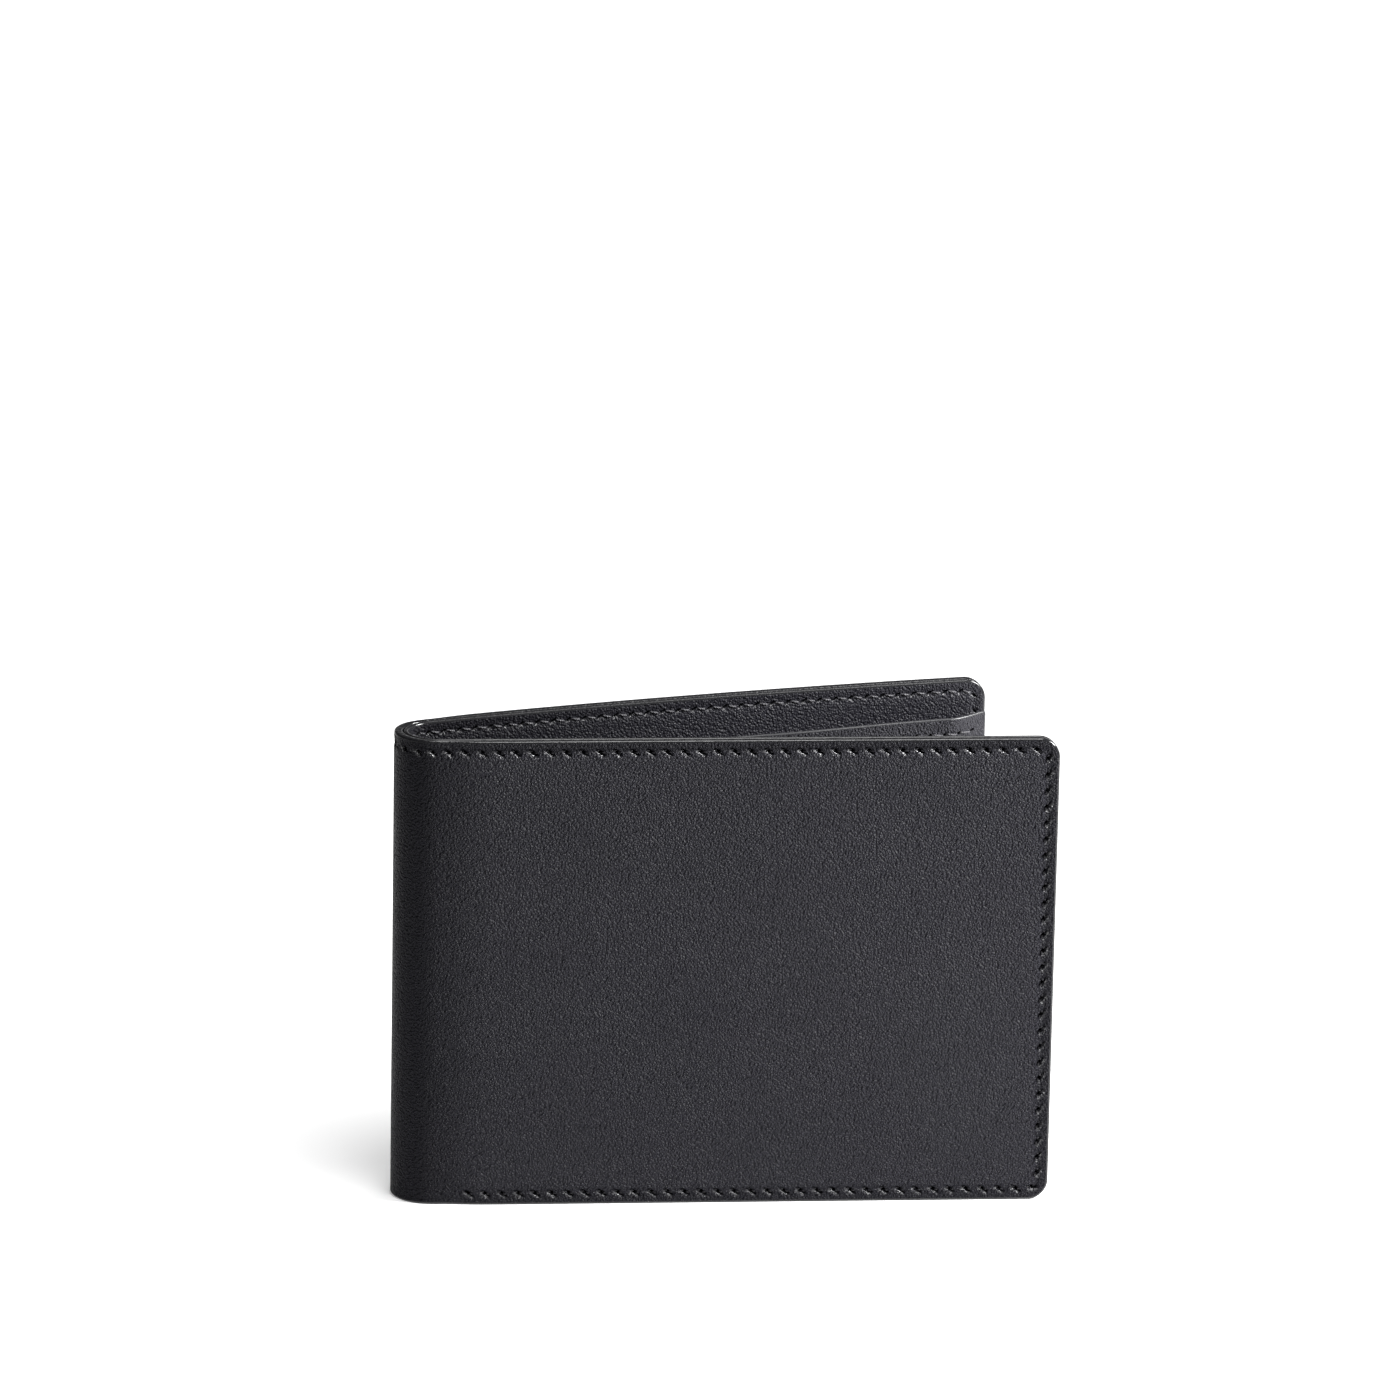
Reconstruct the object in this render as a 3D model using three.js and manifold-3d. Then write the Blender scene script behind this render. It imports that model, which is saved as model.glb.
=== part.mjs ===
// A bifold wallet standing on its long edge, opened as a narrow V. Millimetres.
// +X runs from the spine to the free edges, +Y from the front half to the rear half, +Z is up.
// Every piece is laid out on one path: s runs along the outer face, depth goes inwards from it.
import * as THREE from "three";
import Module from "manifold-3d";

const wasm = await Module();
wasm.setup();

// ---- driving dimensions ----
const WIDTH = 112;
const HEIGHT = 82;
const SPINE_R = 7.6;
const REAR_LENGTH = 100.9;
const CORNER_R = 3.5;
const DEG = Math.PI / 180;
const REAR_START_ANGLE = 18 * DEG; // heading of the rear half where it leaves the spine
const REAR_END_ANGLE = 10 * DEG; // heading at its free edge: the rear half bows a little outwards
const HINGES = 6;
const HINGE_GAP = 0.3; // each strip stops this far short of a hinge plane

// Depth of each layer's two faces, measured inwards from the outer face.
const OUTER = [0, 1.55];
const LINING = [1.65, 2.5];
const WALL = [2.65, 3.4];
const BACKING = [3.5, 3.75];
const SLOTS = {
  top: { depth: [3.85, 4.45], mouth: 60 },
  middle: { depth: [4.55, 5.15], mouth: 50 },
  bottom: { depth: [5.25, 5.85], mouth: 40 },
};
const LINING_INSET = 0.15;
const WALL_INSET = 0.3;
const POCKET_INSET = 0.5;
const WALL_TOP = 77;
const WALL_TOP_CORNER_R = 1.2;
const BACKING_TOP = 62;
const POCKET_START = 8; // the pockets begin this far from the spine

// The mouth of the bill compartment gapes: the wall leans away from the lining towards its top.
const GAPE = { front: 0.6, rear: 5.9 };
const GAPE_FOOT = 4;
const GAPE_POWER = 2.6;
const MOUTH_DIP = 0.4;

// Seams
const SEAM_INSET = 2;
const SEAM_CORNER_R = CORNER_R - SEAM_INSET;
const SEAM_START = 4.2; // the bottom seam starts here, clear of the spine
const HEM_DROP = 3;
const POCKET_SEAM = 9.5;
const POCKET_SEAM_DROP = 1.5; // the pocket seam stops this far below the lowest mouth
const THREAD_END_GAP = 0.06;
const OUTER_BEAD = { width: 0.6, depth: [0.15, 0.55], groove: [-0.3, 0.7], clearance: 0.3 };
const LINING_BEAD = { width: 0.5, depth: [2.15, 2.4], groove: [2.02, 2.8], clearance: 0.2 };
const HEM_BEAD = { width: 0.45, depth: [3.1, 3.3], groove: [3.0, 3.7], clearance: 0.15 };
const POCKET_BEAD = { width: 0.5, depth: [5.5, 5.75], groove: [5.4, 6.2], clearance: 0.2 };

// Grid of the plates: all layers of one half share columns and rows, so their gaps stay even.
const COLUMN_STEP = 7;
const FINE_COLUMN_STEP = 3.25;
const FINE_RUN = 13; // the mouth closes quickly over this length beside the free edge
const NEAR_SPINE_STEP = 4;
const LEANING_ROWS = [8, 16, 24, 32, 40, 50, 60, 65, 70, 74];
const END_CLEARANCE = 0.5; // a shared column or row this close to an end is left out

// ---- the path ----
const SPINE_ANGLE = Math.PI - REAR_START_ANGLE;
const SPINE_LENGTH = SPINE_R * SPINE_ANGLE;
const HINGE_STEP = SPINE_ANGLE / HINGES;
const REAR_BOW_R = REAR_LENGTH / (REAR_START_ANGLE - REAR_END_ANGLE);
const LENGTH = { front: WIDTH - SPINE_R, rear: REAR_LENGTH };
const REAR_ORIGIN = {
  x: -SPINE_R * Math.sin(SPINE_ANGLE),
  y: SPINE_R - SPINE_R * Math.cos(SPINE_ANGLE),
};

function place(s, depth, z) {
  if (s <= 0) {
    return [-s, depth, z];
  }
  if (s <= SPINE_LENGTH) {
    const turn = s / SPINE_R;
    const r = SPINE_R - depth;
    return [-r * Math.sin(turn), SPINE_R - r * Math.cos(turn), z];
  }
  const heading = REAR_START_ANGLE - (s - SPINE_LENGTH) / REAR_BOW_R;
  const alongX = REAR_BOW_R * (Math.sin(REAR_START_ANGLE) - Math.sin(heading));
  const alongY = REAR_BOW_R * (Math.cos(heading) - Math.cos(REAR_START_ANGLE));
  return [
    REAR_ORIGIN.x + alongX + depth * Math.sin(heading),
    REAR_ORIGIN.y + alongY - depth * Math.cos(heading),
    z,
  ];
}

// u is the distance from the spine's tangent line on either half.
function station(half, u) {
  return half === "front" ? -u : SPINE_LENGTH + u;
}

function distanceFromSpine(half, s) {
  return half === "front" ? -s : s - SPINE_LENGTH;
}

// A column is a function from depth to s, so that a cut beside a hinge plane stays parallel to it.
function fixedColumn(s) {
  return () => s;
}

function cutColumn(hinge, side) {
  const turn = (hinge + 0.5) * HINGE_STEP;
  return (depth) => SPINE_R * (turn + side * Math.asin(HINGE_GAP / (SPINE_R - depth)));
}

function steps(from, to, size) {
  const count = Math.max(1, Math.ceil(Math.abs(to - from) / size));
  const list = [];
  for (let i = 0; i <= count; i++) {
    list.push(from + ((to - from) * i) / count);
  }
  return list;
}

function sharedStations(half) {
  const bend = LENGTH[half] - CORNER_R;
  return [
    ...steps(0, POCKET_START, NEAR_SPINE_STEP).slice(0, -1),
    ...steps(POCKET_START, bend - FINE_RUN, COLUMN_STEP).slice(0, -1),
    ...steps(bend - FINE_RUN, bend, FINE_COLUMN_STEP),
  ];
}

function strictlyBetween(values, low, high) {
  return values.filter((value) => value > low + END_CLEARANCE && value < high - END_CLEARANCE);
}

// The distances from u = from to u = to, through every shared column between them.
function runAlong(half, from, to) {
  return [from, ...strictlyBetween(sharedStations(half), from, to), to];
}

function ramp(x, from, to) {
  const t = Math.min(1, Math.max(0, (x - from) / (to - from)));
  return t * t * (3 - 2 * t);
}

// ---- the gaping mouth ----
function mouthShape(half, u) {
  const fromEdge = LENGTH[half] - u;
  return ramp(u, 1, 22) * ramp(fromEdge, 2, 13) * (0.68 + 0.32 * ramp(fromEdge, 13, 41));
}

function gape(half, s, z) {
  const height = Math.max(0, z - GAPE_FOOT) / (WALL_TOP - GAPE_FOOT);
  return GAPE[half] * mouthShape(half, distanceFromSpine(half, s)) * Math.pow(height, GAPE_POWER);
}

function wallTop(half, u) {
  return WALL_TOP - (half === "rear" ? MOUTH_DIP : 0) * mouthShape(half, u);
}

// ---- solids ----
function solidFrom(points, triangles) {
  let volume = 0;
  for (const [a, b, c] of triangles) {
    const [p, q, r] = [points[a], points[b], points[c]];
    volume += p[0] * (q[1] * r[2] - q[2] * r[1]);
    volume += p[1] * (q[2] * r[0] - q[0] * r[2]);
    volume += p[2] * (q[0] * r[1] - q[1] * r[0]);
  }
  const facingOut = volume > 0 ? triangles : triangles.map(([a, b, c]) => [a, c, b]);
  const geometry = new THREE.BufferGeometry();
  geometry.setAttribute("position", new THREE.Float32BufferAttribute(points.flat(), 3));
  geometry.setIndex(facingOut.flat());
  return geometry;
}

function quad(triangles, a, b, c, d) {
  triangles.push([a, b, c], [a, c, d]);
}

// A closed plate between two faces, built on a grid of columns along s and rows up z.
// heights are the rows between the bottom edge and the top edge.
function plate({ columns, heights, near, far, bottom, top }) {
  const points = [];
  const triangles = [];
  const rows = heights.length + 1;
  const layer = (k, j, isFar) => (isFar ? columns.length * (rows + 1) : 0) + k * (rows + 1) + j;
  for (const face of [near, far]) {
    for (const column of columns) {
      for (const z of [bottom(column(0)), ...heights, top(column(0))]) {
        const depth = face(column(0), z);
        points.push(place(column(depth), depth, z));
      }
    }
  }
  const last = columns.length - 1;
  for (let k = 0; k < last; k++) {
    for (let j = 0; j < rows; j++) {
      quad(triangles, layer(k, j), layer(k + 1, j), layer(k + 1, j + 1), layer(k, j + 1));
      quad(
        triangles,
        layer(k, j, true),
        layer(k, j + 1, true),
        layer(k + 1, j + 1, true),
        layer(k + 1, j, true),
      );
    }
    quad(triangles, layer(k + 1, 0), layer(k, 0), layer(k, 0, true), layer(k + 1, 0, true));
    quad(
      triangles,
      layer(k, rows),
      layer(k + 1, rows),
      layer(k + 1, rows, true),
      layer(k, rows, true),
    );
  }
  for (let j = 0; j < rows; j++) {
    quad(triangles, layer(0, j), layer(0, j + 1), layer(0, j + 1, true), layer(0, j, true));
    quad(
      triangles,
      layer(last, j + 1),
      layer(last, j),
      layer(last, j, true),
      layer(last, j + 1, true),
    );
  }
  return solidFrom(points, triangles);
}

// A bar of rectangular section laid along a path of [s, z] points, between two depths.
function bar(path, width, near, far) {
  const points = [];
  const triangles = [];
  path.forEach(([s, z], i) => {
    const before = path[Math.max(0, i - 1)];
    const after = path[Math.min(path.length - 1, i + 1)];
    const run = Math.hypot(after[0] - before[0], after[1] - before[1]);
    const acrossS = ((before[1] - after[1]) / run) * (width / 2);
    const acrossZ = ((after[0] - before[0]) / run) * (width / 2);
    for (const [side, depth] of [[-1, near], [1, near], [1, far], [-1, far]]) {
      const cornerS = s + side * acrossS;
      const cornerZ = z + side * acrossZ;
      points.push(place(cornerS, depth(cornerS, cornerZ), cornerZ));
    }
  });
  for (let i = 0; i < path.length - 1; i++) {
    for (let c = 0; c < 4; c++) {
      const d = (c + 1) % 4;
      quad(triangles, 4 * i + c, 4 * i + d, 4 * (i + 1) + d, 4 * (i + 1) + c);
    }
  }
  const end = 4 * (path.length - 1);
  quad(triangles, 3, 2, 1, 0);
  quad(triangles, end, end + 1, end + 2, end + 3);
  return solidFrom(points, triangles);
}

function toManifold(geometry) {
  return new wasm.Manifold(
    new wasm.Mesh({
      numProp: 3,
      vertProperties: new Float32Array(geometry.attributes.position.array),
      triVerts: new Uint32Array(geometry.index.array),
    }),
  );
}

function subtract(geometry, cutter) {
  const mesh = toManifold(geometry).subtract(toManifold(cutter)).getMesh();
  const result = new THREE.BufferGeometry();
  result.setAttribute("position", new THREE.Float32BufferAttribute(mesh.vertProperties, 3));
  result.setIndex(Array.from(mesh.triVerts));
  return result;
}

// ---- materials ----
function material(color, roughness) {
  return new THREE.MeshStandardMaterial({ color, roughness, metalness: 0, flatShading: true });
}

const MATERIALS = {
  outerLeather: material(0x37363c, 0.55),
  lining: material(0x2c2b30, 0.6),
  wallLeather: material(0x323137, 0.6),
  slotLeather: material(0x35343a, 0.55),
  backing: material(0x222226, 0.9),
  thread: material(0x1c1c1f, 0.7),
};

// ---- assembly ----
const group = new THREE.Group();
group.name = "bifold_wallet";

const rearCorner = place(station("rear", REAR_LENGTH), 0, 0);
const CENTRE_X = WIDTH / 2 - SPINE_R;
const CENTRE_Y = rearCorner[1] / 2;

function addNode(name, geometry, baseMaterial) {
  geometry.translate(-CENTRE_X, -CENTRE_Y, 0);
  geometry.computeVertexNormals();
  const mesh = new THREE.Mesh(geometry, baseMaterial.clone());
  mesh.name = name;
  group.add(mesh);
}

function cornerDrop(u, edge, radius) {
  const over = u - (edge - radius);
  return over > 0 ? radius - Math.sqrt(Math.max(0, radius * radius - over * over)) : 0;
}

// Columns of one half, from where it starts to its rounded free edge.
function halfColumns(half, start, edge, cornerRadius) {
  const columns = [];
  if (start === "hinge") {
    const hinge = half === "front" ? 0 : HINGES - 1;
    columns.push(cutColumn(hinge, half === "front" ? -1 : 1));
    columns.push(fixedColumn(station(half, (-SPINE_R * HINGE_STEP) / 4)));
  }
  const from = start === "hinge" ? 0 : start;
  for (const u of runAlong(half, from, edge - cornerRadius)) {
    columns.push(fixedColumn(station(half, u)));
  }
  for (const angle of steps(18, 90, 18)) {
    const u = edge - cornerRadius + cornerRadius * Math.sin(angle * DEG);
    columns.push(fixedColumn(station(half, u)));
  }
  return columns;
}

// One flat or leaning layer of one half.
function halfLayer(half, { depth, inset, start, topAt, topCorner, leans }) {
  const edge = LENGTH[half] - inset;
  const radius = CORNER_R - inset;
  const lean = leans ? (s, z) => gape(half, s, z) : () => 0;
  return plate({
    columns: halfColumns(half, start, edge, radius),
    heights: leans ? strictlyBetween(LEANING_ROWS, inset + radius, topAt(0) - topCorner) : [],
    near: (s, z) => depth[0] + lean(s, z),
    far: (s, z) => depth[1] + lean(s, z),
    bottom: (s) => inset + cornerDrop(distanceFromSpine(half, s), edge, radius),
    top: (s) => {
      const u = distanceFromSpine(half, s);
      return topAt(u) - cornerDrop(u, edge, topCorner);
    },
  });
}

function spineLayer(strip, depth, low, high) {
  const middle = strip * HINGE_STEP * SPINE_R;
  return plate({
    columns: [
      cutColumn(strip - 1, 1),
      fixedColumn(middle - 0.15 * HINGE_STEP * SPINE_R),
      fixedColumn(middle + 0.15 * HINGE_STEP * SPINE_R),
      cutColumn(strip, -1),
    ],
    heights: [],
    near: () => depth[0],
    far: () => depth[1],
    bottom: () => low,
    top: () => high,
  });
}

function cornerPath(u, z, radius, fromAngle, toAngle) {
  return steps(fromAngle, toAngle, 15).map((angle) => [
    u + radius * Math.cos(angle * DEG),
    z + radius * Math.sin(angle * DEG),
  ]);
}

// The seam of one half in [u, z]: along the bottom, up the free edge and back along the top.
function edgeSeam(half, spineEnd) {
  const cornerU = LENGTH[half] - CORNER_R;
  const arc = steps(0, spineEnd, 0.6).slice(1);
  return [
    ...runAlong(half, SEAM_START, cornerU).slice(0, -1).map((u) => [u, SEAM_INSET]),
    ...cornerPath(cornerU, CORNER_R, SEAM_CORNER_R, -90, 0),
    ...cornerPath(cornerU, HEIGHT - CORNER_R, SEAM_CORNER_R, 0, 90),
    ...runAlong(half, 0, cornerU).reverse().slice(1).map((u) => [u, HEIGHT - SEAM_INSET]),
    ...arc.map((u) => [u, HEIGHT - SEAM_INSET]),
  ];
}

// The same seam on the lining: only the part above the bill compartment wall.
function liningSeam(half, spineEnd) {
  const cornerU = LENGTH[half] - CORNER_R;
  const arc = steps(0, spineEnd, 0.6).slice(1);
  return [
    [cornerU + SEAM_CORNER_R, WALL_TOP + 0.5],
    ...cornerPath(cornerU, HEIGHT - CORNER_R, SEAM_CORNER_R, 0, 90),
    ...runAlong(half, 0, cornerU).reverse().slice(1).map((u) => [u, HEIGHT - SEAM_INSET]),
    ...arc.map((u) => [u, HEIGHT - SEAM_INSET]),
  ];
}

function hemSeam(half) {
  return runAlong(half, POCKET_START, LENGTH[half] - CORNER_R).map((u) => [
    u,
    wallTop(half, u) - HEM_DROP,
  ]);
}

function pocketSeam(half) {
  const cornerU = LENGTH[half] - CORNER_R;
  const high = SLOTS.bottom.mouth - POCKET_SEAM_DROP;
  const turn = SEAM_CORNER_R;
  const upTo = [...strictlyBetween(LEANING_ROWS, CORNER_R, high), high];
  return [
    ...upTo.slice().reverse().map((z) => [POCKET_SEAM, z]),
    ...cornerPath(POCKET_SEAM + turn, SEAM_INSET + turn, turn, 180, 270),
    ...runAlong(half, POCKET_SEAM + turn, cornerU).slice(1, -1).map((u) => [u, SEAM_INSET]),
    ...cornerPath(cornerU, CORNER_R, turn, -90, 0),
    ...upTo.map((z) => [cornerU + turn, z]),
  ];
}

// A thread lying in its groove: returns both the bead and the grooved layer.
function sewInto(layer, half, path, bead, groovePath, leans) {
  const toSurface = (list) => list.map(([u, z]) => [station(half, u), z]);
  const lean = leans ? (s, z) => gape(half, s, z) : () => 0;
  const at = (depth) => (s, z) => depth + lean(s, z);
  const grooveWidth = bead.width + 2 * bead.clearance;
  const groove = bar(toSurface(groovePath), grooveWidth, at(bead.groove[0]), at(bead.groove[1]));
  return {
    thread: bar(toSurface(path), bead.width, at(bead.depth[0]), at(bead.depth[1])),
    layer: subtract(layer, groove),
  };
}

// Grooves run a little past a thread that stops inside the piece.
function lengthened(path, first, last) {
  const extend = ([fromU, fromZ], [toU, toZ], by) => {
    const run = Math.hypot(toU - fromU, toZ - fromZ);
    return [toU + ((toU - fromU) / run) * by, toZ + ((toZ - fromZ) / run) * by];
  };
  const result = path.slice();
  result[0] = extend(path[1], path[0], first);
  result[path.length - 1] = extend(path[path.length - 2], path[path.length - 1], last);
  return result;
}

const STRIP_HALF = (SPINE_R * HINGE_STEP) / 2;
const CUT_BACK = SPINE_R * Math.asin(HINGE_GAP / (SPINE_R - OUTER_BEAD.depth[1])) + THREAD_END_GAP;
const LINING_CUT_BACK =
  SPINE_R * Math.asin(HINGE_GAP / (SPINE_R - LINING_BEAD.depth[1])) + THREAD_END_GAP;
const GROOVE_RUN_ON = 0.3;
const GROOVE_RUN_OUT = 1;

for (const half of ["front", "rear"]) {
  const shellTop = () => HEIGHT;

  const outer = sewInto(
    halfLayer(half, { depth: OUTER, inset: 0, start: "hinge", topAt: shellTop, topCorner: CORNER_R }),
    half,
    edgeSeam(half, CUT_BACK - STRIP_HALF),
    OUTER_BEAD,
    lengthened(edgeSeam(half, CUT_BACK - STRIP_HALF), GROOVE_RUN_ON, GROOVE_RUN_OUT),
  );
  addNode(`${half}_outer_leather`, outer.layer, MATERIALS.outerLeather);
  addNode(`${half}_edge_thread`, outer.thread, MATERIALS.thread);

  const liningPath = liningSeam(half, LINING_CUT_BACK - STRIP_HALF);
  const lining = sewInto(
    halfLayer(half, {
      depth: LINING,
      inset: LINING_INSET,
      start: "hinge",
      topAt: () => HEIGHT - LINING_INSET,
      topCorner: CORNER_R - LINING_INSET,
    }),
    half,
    liningPath,
    LINING_BEAD,
    lengthened(liningPath, GROOVE_RUN_ON, GROOVE_RUN_OUT),
  );
  addNode(`${half}_lining`, lining.layer, MATERIALS.lining);
  addNode(`${half}_lining_thread`, lining.thread, MATERIALS.thread);

  const wall = sewInto(
    halfLayer(half, {
      depth: WALL,
      inset: WALL_INSET,
      start: "hinge",
      topAt: (u) => wallTop(half, u),
      topCorner: WALL_TOP_CORNER_R,
      leans: true,
    }),
    half,
    hemSeam(half),
    HEM_BEAD,
    lengthened(hemSeam(half), GROOVE_RUN_ON, GROOVE_RUN_ON),
    true,
  );
  addNode(`${half}_bill_wall`, wall.layer, MATERIALS.wallLeather);
  addNode(`${half}_hem_thread`, wall.thread, MATERIALS.thread);

  const pocketLayer = (depth, high) =>
    halfLayer(half, {
      depth,
      inset: POCKET_INSET,
      start: POCKET_START,
      topAt: () => high,
      topCorner: 0,
      leans: true,
    });
  addNode(`${half}_pocket_backing`, pocketLayer(BACKING, BACKING_TOP), MATERIALS.backing);
  for (const level of ["top", "middle"]) {
    const slot = SLOTS[level];
    addNode(`${half}_card_slot_${level}`, pocketLayer(slot.depth, slot.mouth), MATERIALS.slotLeather);
  }
  const lowest = sewInto(
    pocketLayer(SLOTS.bottom.depth, SLOTS.bottom.mouth),
    half,
    pocketSeam(half),
    POCKET_BEAD,
    lengthened(pocketSeam(half), GROOVE_RUN_ON, GROOVE_RUN_ON),
    true,
  );
  addNode(`${half}_card_slot_bottom`, lowest.layer, MATERIALS.slotLeather);
  addNode(`${half}_pocket_thread`, lowest.thread, MATERIALS.thread);
}

// The fold: five narrow strips of each layer, one set for each turning segment of the spine.
for (let strip = 1; strip < HINGES; strip++) {
  const middle = strip * HINGE_STEP * SPINE_R;
  const across = (reach) => steps(middle - reach, middle + reach, 0.6).map((s) => [s, HEIGHT - SEAM_INSET]);
  const sew = (layer, bead, cutBack) => {
    const at = (depth) => () => depth;
    const grooveWidth = bead.width + 2 * bead.clearance;
    const groove = bar(across(STRIP_HALF + 0.5), grooveWidth, at(bead.groove[0]), at(bead.groove[1]));
    return {
      thread: bar(across(STRIP_HALF - cutBack), bead.width, at(bead.depth[0]), at(bead.depth[1])),
      layer: subtract(layer, groove),
    };
  };
  const outer = sew(spineLayer(strip, OUTER, 0, HEIGHT), OUTER_BEAD, CUT_BACK);
  addNode(`spine_outer_leather_${strip}`, outer.layer, MATERIALS.outerLeather);
  addNode(`spine_edge_thread_${strip}`, outer.thread, MATERIALS.thread);

  const liningPiece = spineLayer(strip, LINING, LINING_INSET, HEIGHT - LINING_INSET);
  const lining = sew(liningPiece, LINING_BEAD, LINING_CUT_BACK);
  addNode(`spine_lining_${strip}`, lining.layer, MATERIALS.lining);
  addNode(`spine_lining_thread_${strip}`, lining.thread, MATERIALS.thread);

  addNode(
    `spine_bill_wall_${strip}`,
    spineLayer(strip, WALL, WALL_INSET, WALL_TOP),
    MATERIALS.wallLeather,
  );
}

export default group;
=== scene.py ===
import math

import bpy
import numpy as np
from mathutils import Matrix, Vector
from mathutils.geometry import delaunay_2d_cdt


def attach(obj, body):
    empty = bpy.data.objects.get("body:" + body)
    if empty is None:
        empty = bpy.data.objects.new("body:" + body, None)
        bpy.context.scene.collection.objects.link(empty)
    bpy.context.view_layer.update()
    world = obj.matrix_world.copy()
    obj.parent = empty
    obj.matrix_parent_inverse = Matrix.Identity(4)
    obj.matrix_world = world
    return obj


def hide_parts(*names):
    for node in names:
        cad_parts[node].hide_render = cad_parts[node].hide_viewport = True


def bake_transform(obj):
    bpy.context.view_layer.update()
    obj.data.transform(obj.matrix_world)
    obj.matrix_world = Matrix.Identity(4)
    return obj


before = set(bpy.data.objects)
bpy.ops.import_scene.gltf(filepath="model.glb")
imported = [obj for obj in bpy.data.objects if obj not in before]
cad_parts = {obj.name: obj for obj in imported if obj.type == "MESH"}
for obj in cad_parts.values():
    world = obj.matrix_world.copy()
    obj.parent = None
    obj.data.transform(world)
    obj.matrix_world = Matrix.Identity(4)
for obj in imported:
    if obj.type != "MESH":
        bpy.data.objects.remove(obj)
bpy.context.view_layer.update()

# ---- driving dimensions, the same as the part's ----
WIDTH = 112.0
HEIGHT = 82.0
SPINE_R = 7.6
REAR_LENGTH = 100.9
CORNER_R = 3.5
REAR_START_ANGLE = math.radians(18)
REAR_END_ANGLE = math.radians(10)
HINGES = 6

OUTER = (0.0, 1.55)
LINING = (1.65, 2.5)
WALL = (2.65, 3.4)
BACKING = (3.5, 3.75)
SLOTS = {
    "top": ((3.85, 4.45), 60.0),
    "middle": ((4.55, 5.15), 50.0),
    "bottom": ((5.25, 5.85), 40.0),
}
LINING_INSET = 0.05
WALL_INSET = 0.45
POCKET_INSET = 0.4
WALL_TOP = 77.0
BACKING_TOP = 62.0
POCKET_START = 8.0

GAPE = {"front": 0.6, "rear": 5.9}
GAPE_FOOT = 4.0
GAPE_POWER = 2.6
MOUTH_DIP = 0.4
MOUTH_BAND = 12.0

SEAM_INSET = 2.0
SEAM_START = 5.4
STITCH = 2.83
SLIT_SLANT = math.radians(35)
HEM_DROP = 3.0
POCKET_SEAM = 9.5

# ---- the path: s along the outer face, depth inwards, z up ----
SPINE_ANGLE = math.pi - REAR_START_ANGLE
SPINE_LENGTH = SPINE_R * SPINE_ANGLE
HINGE_STEP = SPINE_ANGLE / HINGES
STRIP = SPINE_R * HINGE_STEP
REAR_BOW_R = REAR_LENGTH / (REAR_START_ANGLE - REAR_END_ANGLE)
LENGTH = {"front": WIDTH - SPINE_R, "rear": REAR_LENGTH}
REAR_X = -SPINE_R * math.sin(SPINE_ANGLE)
REAR_Y = SPINE_R - SPINE_R * math.cos(SPINE_ANGLE)
CENTRE_X = WIDTH / 2 - SPINE_R
CENTRE_Y = (REAR_Y + REAR_BOW_R * (math.cos(REAR_END_ANGLE) - math.cos(REAR_START_ANGLE))) / 2


def place(s, depth, z):
    """Points in metres in the part's frame."""
    s, depth, z = np.broadcast_arrays(*(np.asarray(v, float) for v in (s, depth, z)))
    turn = s / SPINE_R
    r = SPINE_R - depth
    heading = REAR_START_ANGLE - (s - SPINE_LENGTH) / REAR_BOW_R
    rear_x = REAR_X + REAR_BOW_R * (math.sin(REAR_START_ANGLE) - np.sin(heading)) + depth * np.sin(heading)
    rear_y = REAR_Y + REAR_BOW_R * (np.cos(heading) - math.cos(REAR_START_ANGLE)) - depth * np.cos(heading)
    x = np.where(s <= 0, -s, np.where(s <= SPINE_LENGTH, -r * np.sin(turn), rear_x))
    y = np.where(s <= 0, depth, np.where(s <= SPINE_LENGTH, SPINE_R - r * np.cos(turn), rear_y))
    return np.stack([x - CENTRE_X, y - CENTRE_Y, z], axis=-1) * 0.001


def ramp(x, low, high):
    t = np.clip((np.asarray(x, float) - low) / (high - low), 0, 1)
    return t * t * (3 - 2 * t)


def band(x, low, full, fading, gone):
    """Rises from low to full, then falls from fading to gone."""
    return ramp(x, low, full) * (1 - ramp(x, fading, gone))


def mouth_shape(half, u):
    """1 where the note compartment gapes most, less toward its sides, and 0 at the fold."""
    from_edge = LENGTH[half] - u
    return ramp(u, 1, 22) * ramp(from_edge, -3, 8) * (0.7 + 0.3 * ramp(from_edge, 8, 41))


def gape(half, u, z):
    height = np.maximum(0, np.asarray(z, float) - GAPE_FOOT) / (WALL_TOP - GAPE_FOOT)
    return GAPE[half] * mouth_shape(half, u) * height**GAPE_POWER


def to_s(part, u):
    """u is the distance from the spine's tangent line on a half; strips use s itself."""
    if part == "front":
        return -u
    if part == "rear":
        return SPINE_LENGTH + u
    return u


def to_u(part, s):
    if part == "front":
        return -s
    if part == "rear":
        return s - SPINE_LENGTH
    return s


# ---- parts of the shell: each one reaches across one step of the spine ----
PARTS = ["front", "bend_1", "bend_2", "bend_3", "bend_4", "rear"]
CUTS = [STRIP * i for i in range(1, HINGES)]


def span(part):
    """Low and high u of a part."""
    if part in LENGTH:
        return -STRIP, LENGTH[part]
    i = PARTS.index(part)
    return CUTS[i - 1], CUTS[i]


def part_at(s):
    for part, cut in zip(PARTS, CUTS):
        if s < cut:
            return part
    return "rear"


def bend_with_hinge(obj):
    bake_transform(obj)


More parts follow.
